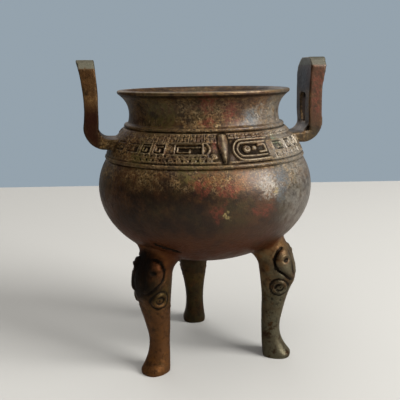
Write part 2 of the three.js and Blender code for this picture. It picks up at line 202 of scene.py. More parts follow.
# Floor and surround; the floor's corners in metres to the right of the viewing line and away along it
FLOOR_COLOUR = (0.43, 0.425, 0.405)
FLOOR_ROUGHNESS = 0.9
FLOOR_CORNERS = ((-3, -3), (3, -3), (3, 0.51), (-3, 0.51))
SURROUND_NEAR = (0.13, 0.125, 0.12, 1)
SURROUND_BACK = (0.30, 0.365, 0.42, 1)
SURROUND_BLEND = (0.55, 0.88)

# Soft lights: degrees from the camera round to the right and up, distance and size in metres, watts, colour
LIGHTS = {
    "window": (64, 30, 1.5, 0.8, 41.0, (1.0, 0.99, 0.97)),
    "ceiling": (10, 78, 2.0, 2.4, 34.0, (1.0, 0.97, 0.94)),
    "fill": (205, 34, 1.8, 1.6, 9.0, (1.0, 0.98, 0.96)),
}
LIGHT_AIM = Vector((0, 0, 0.08))

# Points of every built piece with a value for the finished surface: rubbed bare below zero, dirt and
# painted shade above zero
carved = []


# Small mesh and number helpers

def smoothstep(low, high, value):
    share = np.clip((value - low) / (high - low), 0, 1)
    return share * share * (3 - 2 * share)


def cast_noise(points, size, seed):
    """Smooth noise in -1 to 1 at points in millimetres, with features of about the given size."""
    offset = Vector((seed, 2.3 * seed, -1.7 * seed))
    return np.array([noise.noise(Vector(point) / size + offset) for point in points])


def rounded_line(points, steps=6):
    """A Catmull-Rom curve through a few points, as a dense line."""
    points = np.asarray(points, float)
    padded = np.vstack((2 * points[0] - points[1], points, 2 * points[-1] - points[-2]))
    share = np.linspace(0, 1, steps, endpoint=False)[:, None]
    spans = []
    for before, start, end, after in zip(padded, padded[1:], padded[2:], padded[3:]):
        cubic = 3 * start - 3 * end + after - before
        square = 2 * before - 5 * start + 4 * end - after
        spans.append(start + 0.5 * share * (end - before + share * (square + share * cubic)))
    return np.vstack((*spans, points[-1:]))


def line_distance(points, line):
    """Shortest distance of each point to a line, and how far along the line it is met, 0 to 1."""
    best = np.full(len(points), np.inf)
    along = np.zeros(len(points))
    spans = len(line) - 1
    for index, (start, end) in enumerate(zip(line, line[1:])):
        reach = end - start
        share = np.clip(((points - start) @ reach) / (reach @ reach), 0, 1)
        distance = norm(points - start - share[:, None] * reach, axis=1)
        closer = distance < best
        best[closer] = distance[closer]
        along[closer] = (index + share[closer]) / spans
    return best, along


def unit(vectors):
    """Vectors brought to length one."""
    return vectors / np.maximum(norm(vectors, axis=1), 1e-9)[:, None]


def full_turn(count):
    """Even angles once round."""
    return np.arange(count) * 2 * pi / count


def point_tree(points):
    """A search tree for the nearest of some points."""
    tree = kdtree.KDTree(len(points))
    for index, point in enumerate(points):
        tree.insert(point, index)
    tree.balance()
    return tree


def add_object(name, data):
    item = bpy.data.objects.new(name, data)
    bpy.context.scene.collection.objects.link(item)
    return item


def make_piece(name, points, faces):
    """A mesh object from points in millimetres."""
    mesh = bpy.data.meshes.new(name)
    mesh.from_pydata((np.asarray(points) * MM).tolist(), [], faces)
    mesh.validate()
    return add_object(name, mesh)


def settle(piece):
    """Applies a piece's modifiers to its mesh."""
    graph = bpy.context.evaluated_depsgraph_get()
    mesh = bpy.data.meshes.new_from_object(piece.evaluated_get(graph))
    piece.modifiers.clear()
    piece.data = mesh


def combine(piece, other, operation):
    """Joins another closed mesh to a piece, or cuts it away, and removes the other."""
    modifier = piece.modifiers.new(operation, "BOOLEAN")
    modifier.operation = operation
    modifier.solver = "MANIFOLD"
    modifier.object = other
    settle(piece)
    bpy.data.objects.remove(other)


def mesh_points(piece):
    """A piece's vertices in millimetres."""
    points = np.empty(3 * len(piece.data.vertices))
    piece.data.vertices.foreach_get("co", points)
    return points.reshape(-1, 3) / MM


def set_mesh_points(piece, points):
    piece.data.vertices.foreach_set("co", (points * MM).ravel())
    piece.data.update()


def mesh_normals(piece):
    normals = np.empty(3 * len(piece.data.vertices))
    piece.data.vertex_normals.foreach_get("vector", normals)
    return normals.reshape(-1, 3)


def neighbour_mean(piece):
    """A function that gives the mean of each vertex's neighbours for an array of vertex values."""
    edges = np.empty(2 * len(piece.data.edges), int)
    piece.data.edges.foreach_get("vertices", edges)
    tails, heads = np.concatenate((edges.reshape(-1, 2), edges.reshape(-1, 2)[:, ::-1])).T
    total = len(piece.data.vertices)
    degree = np.maximum(np.bincount(tails, minlength=total), 1)

    def mean(values):
        return np.column_stack([np.bincount(tails, column[heads], total) / degree for column in values.T])

    return mean


def turned(points, angle):
    """Points turned about the vessel's axis."""
    cosine, sine = cos(angle), sin(angle)
    across = points[:, 0] * cosine - points[:, 1] * sine
    return np.column_stack((across, points[:, 0] * sine + points[:, 1] * cosine, points[:, 2]))


# Body of the vessel

def belly_line(inset, angles):
    """The belly's outline as (radius, height), moved inwards by inset."""
    radius = (BELLY_RADIUS - inset) * np.cos(angles)
    drop = np.where(angles < 0, BELLY_DROP, BELLY_RISE) - inset
    return np.column_stack((radius, BELLY_LEVEL + drop * np.sin(angles)))


def bezier(controls, shares):
    """Points of a Bezier curve of any degree."""
    controls = np.asarray(controls, float)
    degree = len(controls) - 1
    weights = [comb(degree, i) * shares ** i * (1 - shares) ** (degree - i) for i in range(degree + 1)]
    return np.array(weights).T @ controls


def band_line(shares):
    """The carved band's outline from its lower to its upper bead."""
    across = BAND_HIGH - BAND_LOW
    outwards = np.array((across[1], -across[0])) / norm(across)
    crown = (BAND_LOW + BAND_HIGH) / 2 + 2 * BAND_BULGE * outwards
    return bezier((BAND_LOW, crown, BAND_HIGH), shares)


BAND_LENGTH = norm(np.diff(band_line(np.linspace(0, 1, 50)), axis=0), axis=1).sum()


def bead_line(centre, steps):
    angles = np.linspace(-pi / 2, pi / 2, steps)
    return np.asarray(centre) + BEAD_RADIUS * np.column_stack((np.cos(angles), np.sin(angles)))


def neck_line(inset, lip_radius, lip_height, steps):
    """The concave neck from the upper bead to the lip, moved inwards by inset."""
    controls = (
        (NECK_FOOT[0] - inset, NECK_FOOT[1]),
        (NECK_WAIST[0] - inset, NECK_WAIST[1]),
        (NECK_THROAT - inset, lip_height - LIP_DROP),
        (lip_radius, lip_height),
    )
    return bezier(controls, np.linspace(0, 1, steps))


def lip_line():
    """The rounded edge of the lip, from its underside to its flat top."""
    angles = np.linspace(-0.6, pi / 2, 7)
    half = LIP_THICK / 2
    centre = np.array((LIP_RADIUS - half, RIM_HEIGHT - half))
    return centre + half * np.column_stack((np.cos(angles), np.sin(angles)))


def outer_rings():
    """The outside's rings from below, as (radius, height, count, surface value: rubbed bare below zero,
    dirt and painted shade above zero).
    """
    crease = np.arcsin((np.linspace(*CREASE_LEVELS, 13) - BELLY_LEVEL) / BELLY_DROP)
    even = np.linspace(-pi / 2 + 0.03, BELLY_TOP_ANGLE, 52)
    angles = np.sort(np.concatenate((even, crease)))
    low_bead = bead_line((BAND_LOW[0] - 0.3, BAND_LOW[1] - BEAD_RADIUS - 0.2), 7)
    high_bead = bead_line((BAND_HIGH[0] - 0.9, BAND_HIGH[1] + BEAD_RADIUS), 7)
    neck = neck_line(0, LIP_RADIUS - 0.3, RIM_HEIGHT - LIP_THICK + 0.2, 16)
    lip = lip_line()
    flat = np.linspace((LIP_RADIUS - 1.2, RIM_HEIGHT), (LIP_RADIUS - 6, RIM_HEIGHT), 4)
    lines = (
        (belly_line(0, angles), PLAIN_COUNT, 0.0),
        (low_bead, PLAIN_COUNT, -0.28),
        (band_line(np.linspace(0, 1, BAND_RINGS)), BAND_COUNT, 0.0),
        (high_bead, PLAIN_COUNT, -0.22),
        # The neck's top rings and the lip's underside are darkened: painted shade under the lip
        (neck[:-2], PLAIN_COUNT, 0.0),
        (neck[-2:], PLAIN_COUNT, 0.3),
        (lip[:3], PLAIN_COUNT, 0.1),
        (lip[3:], PLAIN_COUNT, -0.48),
        (flat, PLAIN_COUNT, -0.2),
    )
    return [(*place, count, wear_and_shade) for line, count, wear_and_shade in lines for place in line]


def inner_rings():
    """The inside's rings from below, running on above the rim so that it opens the mouth."""
    mouth = LIP_RADIUS - LIP_ROUND - LIP_FLAT
    shoulder = BAND_HIGH - WALL * np.array((0.81, 0.59))
    angles = np.linspace(-pi / 2 + 0.05, BELLY_TOP_ANGLE, 26)
    above = np.array(((mouth, OVERALL_HEIGHT),))
    lines = (belly_line(WALL, angles), shoulder[None], neck_line(WALL, mouth, RIM_HEIGHT, 12), above)
    return [(*place, PLAIN_COUNT // 2, 0.2) for line in lines for place in line]


def ring_faces(start, count, next_start, next_count):
    """Faces between two rings of which one may have several times the other's points."""
    if count == next_count:
        pairs = [(i, (i + 1) % count) for i in range(count)]
        return [(start + i, start + k, next_start + k, next_start + i) for i, k in pairs]
    flipped = count > next_count
    coarse, fine = (next_start, start) if flipped else (start, next_start)
    total = min(count, next_count)
    ratio = max(count, next_count) // total
    faces = []
    for i in range(total):
        here, ahead = coarse + i, coarse + (i + 1) % total
        points = [fine + (ratio * i + k) % (ratio * total) for k in range(ratio + 1)]
        middle = ratio // 2
        for k in range(ratio):
            faces.append((here if k < middle else ahead, points[k + 1], points[k]))
        faces.append((here, ahead, points[middle]))
    return [face[::-1] for face in faces] if flipped else faces


def revolve(rings):
    """Points and faces of a closed solid of revolution, and each point's ring."""
    counts = [count for _, _, count, _ in rings]
    *starts, bottom = np.cumsum([0, *counts]).tolist()
    points, faces = [], []
    for radius, height, count, _ in rings:
        angles = full_turn(count)
        level = np.full(count, height)
        points.append(np.column_stack((radius * np.sin(angles), -radius * np.cos(angles), level)))
    for pair in zip(starts, counts, starts[1:], counts[1:]):
        faces += ring_faces(*pair)
    first, last = counts[0], counts[-1]
    faces += [(bottom, (i + 1) % first, i) for i in range(first)]
    faces += [(bottom + 1, starts[-1] + i, starts[-1] + (i + 1) % last) for i in range(last)]
    points.append(np.array(((0, 0, rings[0][1]), (0, 0, rings[-1][1]))))
    owners = np.repeat(np.arange(len(rings)), counts)
    return np.vstack(points), faces, np.append(owners, (0, len(rings) - 1))


# Carving of the band, in millimetres along it from the flange and up across it

def stroke(places, line, half_width, height, soft=0.28):
    """A raised line with soft shoulders."""
    distance, _ = line_distance(places, np.asarray(line, float))
    return height * smoothstep(half_width + soft, half_width - soft, distance)


def dish(places, low, high, depth, soft=0.5):
    """A sunk rectangle with soft edges."""
    inside = np.minimum(places - np.asarray(low), np.asarray(high) - places).min(axis=1)
    return -depth * smoothstep(-soft / 2, soft, inside)


def boss(places, centre, radius, height):
    """A rounded knob."""
    distance = norm(places - np.asarray(centre), axis=1) / radius
    return height * np.sqrt(np.clip(1 - distance ** 2, 0, 1))


def raised(relief, part):
    """Relief lifted to a raised part where that part stands, sunk places elsewhere left alone."""
    return np.where(part > 0, np.maximum(relief, part), relief)


def key_spiral(low, high, pitch, hand):
    """A squared spiral line that winds inwards in a box, the traditional thunder pattern."""
    (left, bottom), (right, top) = low, high
    line = [(left, bottom)]
    while right - left > pitch and top - bottom > pitch:
        line += [(right, bottom), (right, top), (left, top), (left, bottom + pitch)]
        left, bottom, right, top = left + pitch, bottom + pitch, right - pitch, top - pitch
        line.append((left, bottom))
    line = np.array(line)
    if hand < 0:
        line[:, 0] = low[0] + high[0] - line[:, 0]
    return line


def round_spiral(centre, radius, turns, hand):
    angles = np.linspace(0, 2 * pi * turns, int(18 * turns))
    reach = radius * (0.15 + 0.85 * angles / angles[-1])
    return np.asarray(centre) + np.column_stack((hand * reach * np.cos(angles), reach * np.sin(angles)))


def scroll_line(near, far, low, high):
    """A C scroll that opens away from the flange."""
    bend = (high - low) / 2
    corner = 0.3 * bend
    points = (
        (far, high), (near + bend, high), (near + corner, high - corner), (near, high - bend),
        (near + corner, low + corner), (near + bend, low), (far - 1, low),
    )
    return rounded_line(points, 8)


def flange(places):
    """The leaf-shaped flange: broad above, pointed below."""
    along, across = places.T
    share = np.clip((across - 0.4) / 15.0, 0, 1)
    half = 2.7 * np.sin(pi * (0.03 + 0.56 * share)) ** 0.8
    ridge = np.clip(1 - np.abs(along) / np.maximum(half, 0.01), 0, 1) ** 0.7
    return 1.7 * ridge * smoothstep(-0.2, 0.1, share) * smoothstep(16.4, 15.0, across)


def key_row(places, start, end, low, high, width, pitch, height):
    """A row of squared spirals turned alternately left and right."""
    relief = np.zeros(len(places))
    for index in range(int((end - start) // width)):
        left = start + index * width
        line = key_spiral((left, low), (left + width - 1.1, high), pitch, 1 if index % 2 else -1)
        relief = np.maximum(relief, stroke(places, line, 0.36, height))
    return relief


def borders(places):
    """Thin lines along both edges of the band."""
    top = BAND_LENGTH - 1.0
    lines = (((-1, 0.9), (90, 0.9)), ((-1, top), (90, top)))
    return np.max([stroke(places, line, 0.4, 0.5) for line in lines], axis=0)


def top_rows(places):
    """Two close rows of small squared spirals under the upper bead."""
    rows = [key_row(places, 3.4, 74, low, low + 2.0, 3.3, 1.0, 0.55) for low in (11.5, 14.2)]
    return np.maximum(*rows)


def scroll_side(places):
    """The right half of a panel: a great double scroll round a creature's eye, and its hooked body."""
    relief = np.where(places[:, 1] > 13.4, top_rows(places), 0)
    relief = np.maximum(relief, borders(places))
    relief += dish(places, (6.6, 3.6), (23, 10.6), 0.8, 0.8)
    for inset in (0.0, 1.9):
        line = scroll_line(4.4 + inset, 24 - inset, 1.6 + inset, 12.4 - inset)
        relief = raised(relief, stroke(places, line, 0.45, 0.95))
    tail = ((18, 5.2), (21.5, 5.2), (21.5, 9.0), (18, 9.0))
    eye = (11.2, 7.2)
    relief = raised(relief, boss(places, eye, 2.0, 0.9))
    relief = raised(relief, boss(places, (15.4, 7.6), 1.2, 0.5))
    relief = raised(relief, stroke(places, tail, 0.45, 0.6))
    relief += boss(places, eye, 0.7, -0.9)
    relief = raised(relief, key_row(places, 26.5, 74, 1.6, 4.0, 3.6, 1.0, 0.55))
    return relief + hooks(places, ((27, 8), (37, 6.5), (45.5, 6.5), (54, 9), (65, 8)))


def hooks(places, blocks):
    """Sunk blocks with a hooked bar standing in each, the creature's body; blocks as (start, width)."""
    low, high = 4.9, 10.6
    relief = np.zeros(len(places))
    for start, width in blocks:
        end = start + width
        relief += dish(places, (start, low), (end, high), 1.05)
        hook = (
            (start + 1.3, high - 1.4), (end - 1.4, high - 1.4), (end - 1.4, low + 1.4),
            (start + 0.45 * width, low + 1.4), (start + 0.45 * width, high - 2.8),
        )
        relief += stroke(places, hook, 0.42, 1.3)
        rim = ((start, low), (end, low), (end, high), (start, high), (start, low))
        relief = raised(relief, stroke(places, rim, 0.3, 0.5))
    return relief


def block_side(places):
    """The left half of a panel: sunk blocks with hooked bars over two rows of small spirals."""
    relief = np.maximum(borders(places), top_rows(places))
    for index in range(40):
        centre = (4.8 + 1.7 * index, 1.9 if index % 2 else 3.7)
        spiral = round_spiral(centre, 1.4, 1.4, 1 if index % 2 else -1)
        relief = np.maximum(relief, stroke(places, spiral, 0.3, 0.65))
    relief = np.maximum(relief, stroke(places, scroll_line(6.4, 24.6, 4.6, 10.9), 0.4, 0.8))
    return relief + hooks(places, ((9.6, 13.2), (27.5, 6.2), (35, 6.2), (42.6, 8.6), (53.6, 8), (64, 8)))


def band_relief():
    """Carved height over the whole band, as rows across it and columns round it from the front."""
    quarter = BAND_COUNT // 4
    along = np.arange(quarter + 1) * 2 * pi * FRIEZE_RADIUS / BAND_COUNT
    across = np.linspace(0, BAND_LENGTH, BAND_RINGS)
    places = np.column_stack([axis.ravel() for axis in np.meshgrid(along, across)])
    flange_part = flange(places)
    shape = (BAND_RINGS, quarter + 1)
    right, left = [
        raised(side(places) * smoothstep(1.2, 3.4, places[:, 0]), flange_part).reshape(shape)
        for side in (scroll_side, block_side)
    ]
    half = np.hstack((right[:, :-1], left[:, :0:-1]))
    return np.hstack((half, half))


def band_wear():
    """How much of the carving is left round the band: worn low beside the left handle."""
    angles = np.degrees(full_turn(BAND_COUNT))
    signed = (angles + 180) % 360 - 180
    worn = smoothstep(-40, -56, signed) * smoothstep(-100, -84, signed)
    return 1 - 0.7 * worn


def grid_blur(grid, rounds):
    """A soft blur of a grid that closes on itself along its second axis."""
    for _ in range(rounds):
        padded = np.vstack((grid[:1], grid, grid[-1:]))
        grid = (padded[:-2] + 2 * grid + padded[2:]) / 4
        grid = (np.roll(grid, 1, 1) + 2 * grid + np.roll(grid, -1, 1)) / 4
    return grid


def belly_crease(points):
    """Sunk depth of the short crease on the belly's underside."""
    angles = np.degrees(np.arctan2(points[:, 0], -points[:, 1]))
    share = (angles - CREASE_ANGLES[0]) / (CREASE_ANGLES[1] - CREASE_ANGLES[0])
    level = CREASE_LEVELS[0] + share * (CREASE_LEVELS[1] - CREASE_LEVELS[0])
    ends = smoothstep(-0.1, 0.3, share) * smoothstep(1.1, 0.7, share)
    return -CREASE_DEPTH * ends * np.exp(-((points[:, 2] - level) / CREASE_WIDTH) ** 2)


def ways_out(points):
    """The way out of the wall at points of the plain body."""
    ways = points.copy()
    ways[:, 2] = np.where(points[:, 2] < BELLY_TOP, (points[:, 2] - BELLY_LEVEL) * 2, 0)
    return unit(ways)


def worn_relief(points):
    """The band's carving, worn low in places and of uneven depth, faded at both edges."""
    relief = band_relief() * band_wear()
    patchy = 0.86 + 0.28 * cast_noise(points, 6.0, 9.0).reshape(relief.shape)
    relief *= np.clip(patchy, 0.5, 1.1)
    edge = np.minimum(np.arange(BAND_RINGS), np.arange(BAND_RINGS)[::-1])
    return relief * smoothstep(0, 2, edge)[:, None]


def band_steps(relief):
    """How far the band's points move to stand at their carved height."""
    slope = unit(np.gradient(band_line(np.linspace(0, 1, BAND_RINGS)), axis=0))
    around = full_turn(BAND_COUNT)
    across, up = slope[:, 1, None] * relief, -slope[:, 0, None] * relief
    axes = (across * np.sin(around), -across * np.cos(around), up)
    return np.column_stack([axis.ravel() for axis in axes])


def build_body():
    """The outside of the vessel, closed over the mouth, with the carved band."""
    rings = outer_rings()
    points, faces, owners = revolve(rings)
    counts, wear_and_shade = np.array(rings)[owners, 2:].T
    in_band = counts == BAND_COUNT
    crease = belly_crease(points)
    below_rim = smoothstep(RIM_HEIGHT, RIM_HEIGHT - 6, points[:, 2])
    lift = (0.3 * cast_noise(points, 38.0, 4.0) + crease) * np.where(in_band, 0, 1) * below_rim
    points += lift[:, None] * ways_out(points)
    relief = worn_relief(points[in_band])
    points[in_band] += band_steps(relief)
    wear_and_shade[in_band] = np.clip((grid_blur(relief, 24) - relief) / 0.5, -1, 1).ravel()
    # The casting crease is darkened: dirt and painted shade in the crease
    wear_and_shade = np.where(crease < -0.2, 0.8, wear_and_shade)
    carved.append((points, wear_and_shade))
    return make_piece("bronze_ding", points, faces)


def build_cavity():
    points, faces, _ = revolve(inner_rings())
    # The whole inside is darkened a little: dirt and painted shade inside the mouth
    carved.append((points, np.full(len(points), 0.2)))
    return make_piece("cavity", points, faces)


# Legs

def leg_sizes(height):
    """Centre radius, half depth and half width of a leg, by a smooth curve through its stations."""
    stations = LEG_STATIONS[:, 0]
    slopes = np.gradient(LEG_STATIONS[:, 1:], stations, axis=0)
    span = np.clip(np.searchsorted(stations, height, side="right") - 1, 0, len(stations) - 2)
    length = stations[span + 1] - stations[span]
    share = ((height - stations[span]) / length)[:, None]
    start, end = LEG_STATIONS[span, 1:], LEG_STATIONS[span + 1, 1:]
    rise = share ** 2 * (3 - 2 * share)
    sizes = start + (end - start) * rise
    sizes += length[:, None] * share * (1 - share) * (slopes[span] * (1 - share) - slopes[span + 1] * share)
    inner, outer, half = sizes.T
    return (inner + outer) / 2, (outer - inner) / 2, half


def belly_clearance(radius, height):
    """How far a point stands outside the belly's surface."""
    level = np.hypot(radius / BELLY_RADIUS, (height - BELLY_LEVEL) / BELLY_DROP)
    slope = np.hypot(radius / BELLY_RADIUS ** 2, (height - BELLY_LEVEL) / BELLY_DROP ** 2)
    return (level - 1) * level / slope


def leg_heights():
    """Ring heights of a leg, closer together on the carved knee and at the belly."""
    foot, shin, knee, root = (0, 10, 13), (10, 33, 15), (33, 66, 56), (66, 70, 4)
    return np.concatenate(((0.0,), *(np.linspace(*span)[1:] for span in (foot, shin, knee, root))))


def leg_surface(height, angle):
    """Points of a plain leg along +X as (radius, sideways, height)."""
    centre, depth, half = leg_sizes(height)
    power = 2 / LEG_SQUARENESS
    away = np.sign(np.cos(angle)) * np.abs(np.cos(angle)) ** power
    aside = np.sign(np.sin(angle)) * np.abs(np.sin(angle)) ** power
    clearance = belly_clearance(np.hypot(centre + depth * away, half * aside), height)
    outwards = (1 + np.cos(angle)) / 2
    fillet = LEG_FILLET_INNER + (LEG_FILLET_OUTER - LEG_FILLET_INNER) * outwards
    rest = fillet - np.clip(clearance, 0.03 * fillet, fillet)
    swell = fillet - np.sqrt(fillet ** 2 - rest ** 2)
    radius = centre + depth * away + swell * np.cos(angle)
    return np.column_stack((radius, half * aside + swell * np.sin(angle), height))


def mask_relief(points, facing):
    """Carved height of the knee's mask at leg points, facing = how squarely each looks sideways."""
    places = points[:, (0, 2)]
    radius, height = places.T
    on_flank = smoothstep(0.25, 0.6, facing)
    distance, along = line_distance(places, rounded_line(LOBE_SPINE))
    width = np.interp(along, np.linspace(0, 1, len(LOBE_WIDTHS)), LOBE_WIDTHS)
    relief = LOBE_PROUD * np.sqrt(np.clip(1 - (distance / width) ** 2, 0, 1)) * smoothstep(0.1, 0.4, facing)
    groove, _ = line_distance(places, rounded_line(GROOVE_LINE))
    relief -= GROOVE_DEPTH * smoothstep(GROOVE_WIDTH, 0.15, groove) * on_flank
    eye = norm(places - EYE_PLACE, axis=1)
    relief -= 1.1 * smoothstep(1.5, 0.4, eye) * on_flank
    relief += stroke(places, rounded_line(LID_LINE), 0.5, 0.7) * on_flank
    ring = norm(places - RING_PLACE, axis=1)
    seed = round_spiral(RING_PLACE, 1.5, 1.1, 1)
    relief += 0.85 * smoothstep(1.0, 0.25, np.abs(ring - RING_RADIUS)) * on_flank
    relief += (stroke(places, seed, 0.45, 0.8) - 0.5 * smoothstep(2.2, 1.6, ring)) * on_flank
    relief -= 0.3 * smoothstep(0.8, 0.2, np.abs(ring - RING_RADIUS - 1.6)) * on_flank
    grain_zone = smoothstep(33, 34.5, height) * smoothstep(39, 37, height)
    grain = cast_noise(points, 1.9, 3.0) * grain_zone
    brow = smoothstep(0.35, 0.1, facing) * smoothstep(41, 45, height) * smoothstep(62, 56, height)
    outer = smoothstep(44, 47, radius)
    return relief + 0.5 * grain * on_flank + 0.45 * brow * outer


def build_leg(index):
    """One leg with its mask, in its place under the belly."""
    heights = leg_heights()
    angles = full_turn(LEG_SIDES)
    height, angle = [axis.ravel() for axis in np.meshgrid(heights, angles, indexing="ij")]
    points = leg_surface(height, angle)
    grid = points.reshape(len(heights), LEG_SIDES, 3)
    sideways = np.roll(grid, -1, 1) - np.roll(grid, 1, 1)
    normals = unit(np.cross(sideways, np.gradient(grid, axis=0)).reshape(-1, 3))
    relief = mask_relief(points, np.abs(normals[:, 1]))
    shape = grid.shape[:2]
    # Grooves are darkened with dirt and painted shade, raised places rubbed bare
    wear_and_shade = np.clip((grid_blur(relief.reshape(shape), 10).ravel() - relief) / 0.6, -0.14, 1)
    uneven = 0.22 * cast_noise(points, 14.0, 20.0 + index) * smoothstep(0, 6, height)
    points += (relief + uneven)[:, None] * normals
    faces = []
    for row in range(len(heights) - 1):
        faces += ring_faces(row * LEG_SIDES, LEG_SIDES, (row + 1) * LEG_SIDES, LEG_SIDES)
    top = (len(heights) - 1) * LEG_SIDES
    faces += [tuple(range(LEG_SIDES))[::-1], tuple(range(top, top + LEG_SIDES))]
    points = turned(points, LEG_ANGLES[index])
    carved.append((points, wear_and_shade))
    return make_piece("leg", points, faces)


# Handles

def arc(centre, radius, start, end, steps=10):
    angles = np.linspace(start, end, steps)
    return np.asarray(centre) + radius * np.column_stack((np.cos(angles), np.sin(angles)))


def handle_side():
    """The handle's J outline in the radial plane: arm, bend and flared upright."""
    quarter = pi / 2
    outer_bend, inner_bend = BEND_LEVEL - ARM_LOW, BEND_LEVEL - ARM_HIGH
    waist = BEND_LEVEL + 0.45 * (OVERALL_HEIGHT - BEND_LEVEL)
    shares = np.linspace(0, 1, 12)
    outer = ((HANDLE_OUTER, BEND_LEVEL), (HANDLE_OUTER - 2 * HANDLE_WAIST, waist),
             (HANDLE_OUTER + HANDLE_FLARE, OVERALL_HEIGHT))
    inner = ((HANDLE_INNER + HANDLE_FLARE / 3, OVERALL_HEIGHT), (HANDLE_INNER - HANDLE_WAIST, waist),
             (HANDLE_INNER, BEND_LEVEL))
    return np.vstack((
        ((ARM_ROOT, ARM_LOW),),
        arc((HANDLE_OUTER - outer_bend, BEND_LEVEL), outer_bend, -quarter, 0)[:-1],
        bezier(outer, shares),
        bezier(inner, shares)[:-1],
        arc((HANDLE_INNER - inner_bend, BEND_LEVEL), inner_bend, 0, -quarter),
        ((ARM_ROOT, ARM_HIGH),),
    ))


def handle_front():
    """The handle's front outline: a tall upright with a bevelled crown."""
    half = HANDLE_WIDTH / 2
    crown = rounded_line(np.array((HANDLE_TOP_WIDTH / 2, OVERALL_HEIGHT)) - CROWN, 4)
    mirrored = crown[::-1] * (-1, 1)
    foot = ((-half, ARM_LOW - 2), (half, ARM_LOW - 2), (half, BEND_LEVEL))
    return np.vstack((foot, crown, mirrored, ((-half, BEND_LEVEL),)))


def slot_outline():
    quarter = pi / 2
    half = SLOT_WIDTH / 2 - SLOT_CORNER
    low, high = SLOT_LOW + SLOT_CORNER, SLOT_HIGH - SLOT_CORNER
    corners = ((-half, low), (half, low), (half, high), (-half, high))
    turns = (2, 3, 4, 5)
    return np.vstack([arc(place, SLOT_CORNER, turn * quarter, (turn + 1) * quarter, 6)
                      for place, turn in zip(corners, turns)])


def prism(name, outline, place):
    """A prism whose two ends are an outline put in space by place(outline, end)."""
    count = len(outline)
    points = np.vstack((place(outline, -1), place(outline, 1)))
    faces = [tuple(range(count))[::-1], tuple(range(count, 2 * count))]
    faces += [(i, (i + 1) % count, count + (i + 1) % count, count + i) for i in range(count)]
    return make_piece(name, points, faces)


def soften_cast(handle):
    """Gives a cut handle the soft edges of a casting."""
    remesh = handle.modifiers.new("cast", "REMESH")
    remesh.mode = "VOXEL"
    remesh.voxel_size = HANDLE_VOXEL * MM
    soften = handle.modifiers.new("soft", "SMOOTH")
    soften.factor = 0.5
    soften.iterations = 3
    settle(handle)


def build_handle(index):
    """One handle, cut from its side and front outlines; the first has a casting pit."""
    def from_side(outline, end):
        sideways = np.full(len(outline), -end * HANDLE_TOP_WIDTH)
        return np.column_stack((outline[:, 0], sideways, outline[:, 1]))

    def from_front(outline, end):
        return np.column_stack((np.full(len(outline), CUT_MIDDLE + end * CUT_REACH), outline))

    handle = prism("handle", handle_side(), from_side)
    combine(handle, prism("front", handle_front(), from_front), "INTERSECT")
    combine(handle, prism("slot", slot_outline(), from_front), "DIFFERENCE")
    soften_cast(handle)
    points, normals = mesh_points(handle), mesh_normals(handle)
    lift = 0.22 * cast_noise(points, 9.0, 40.0 + index)
    if index == 0:
        reach = norm(points - PIT_PLACE, axis=1) / PIT_RADIUS
        lift -= PIT_DEPTH * np.clip(1 - reach ** 2, 0, 1)
    points += lift[:, None] * normals
    set_mesh_points(handle, points)
    mean = neighbour_mean(handle)
    bend = np.einsum("ij,ij->i", mean(mean(mean(points))) - points, mesh_normals(handle))
    # Hollows are darkened with dirt and painted shade, bulges rubbed bare
    wear_and_shade = np.clip(bend / 0.2, -0.2, 1)
    points = turned(points, index * pi)
    set_mesh_points(handle, points)
    carved.append((points, wear_and_shade))
    return handle


# The whole casting

def soften_joints(piece, before):
    """Rounds the creases where the parts of the casting run together."""
    points = mesh_points(piece)
    known = point_tree(before)
    creases = [point for point in points if known.find(point)[2] > 0.004]
    tree = point_tree(creases)
    reach = np.array([tree.find(point)[2] for point in points])
    weight = (0.6 * np.clip(1 - reach / 3.0, 0, 1) * (points[:, 2] < RIM_HEIGHT - 8))[:, None]
    mean = neighbour_mean(piece)
    for _ in range(10):
        points += weight * (mean(points) - points)
    set_mesh_points(piece, points)


def store_wear_and_shade(piece):
    """Keeps how sunk or raised the carving is as a value on every vertex, for the finish: dirt and painted
    shade in sunk places, rubbed bare on raised ones.
    """
    sources = np.vstack([points for points, _ in carved])
    values = np.concatenate([wear_and_shade for _, wear_and_shade in carved])
    tree = point_tree(sources)
    nearest = [tree.find(point)[1] for point in mesh_points(piece)]
    attribute = piece.data.attributes.new("carving", "FLOAT", "POINT")
    attribute.data.foreach_set("value", values[nearest].astype(np.float32))


def build_vessel():
    """The casting in one mesh: outside, legs and handles joined, and the inside cut out of it."""
    vessel = build_body()
    for index in range(len(LEG_ANGLES)):
        combine(vessel, build_leg(index), "UNION")
    for index in range(2):
        combine(vessel, build_handle(index), "UNION")
    soften_joints(vessel, np.vstack([points for points, _ in carved]))
    combine(vessel, build_cavity(), "DIFFERENCE")
    store_wear_and_shade(vessel)
    vessel.data.shade_smooth()
    vessel.data.set_sharp_from_angle(angle=radians(70))
    return vessel


# Finish

def add_node(tree, kind, inputs=None, **settings):
    """A shader node with its settings, and its sockets set or linked."""
    item = tree.nodes.new(kind)
    for name, value in settings.items():
        setattr(item, name, value)
    for name, value in (inputs or {}).items():
        if isinstance(value, bpy.types.NodeSocket):
            tree.links.new(value, item.inputs[name])
        else:
            item.inputs[name].default_value = value
    return item


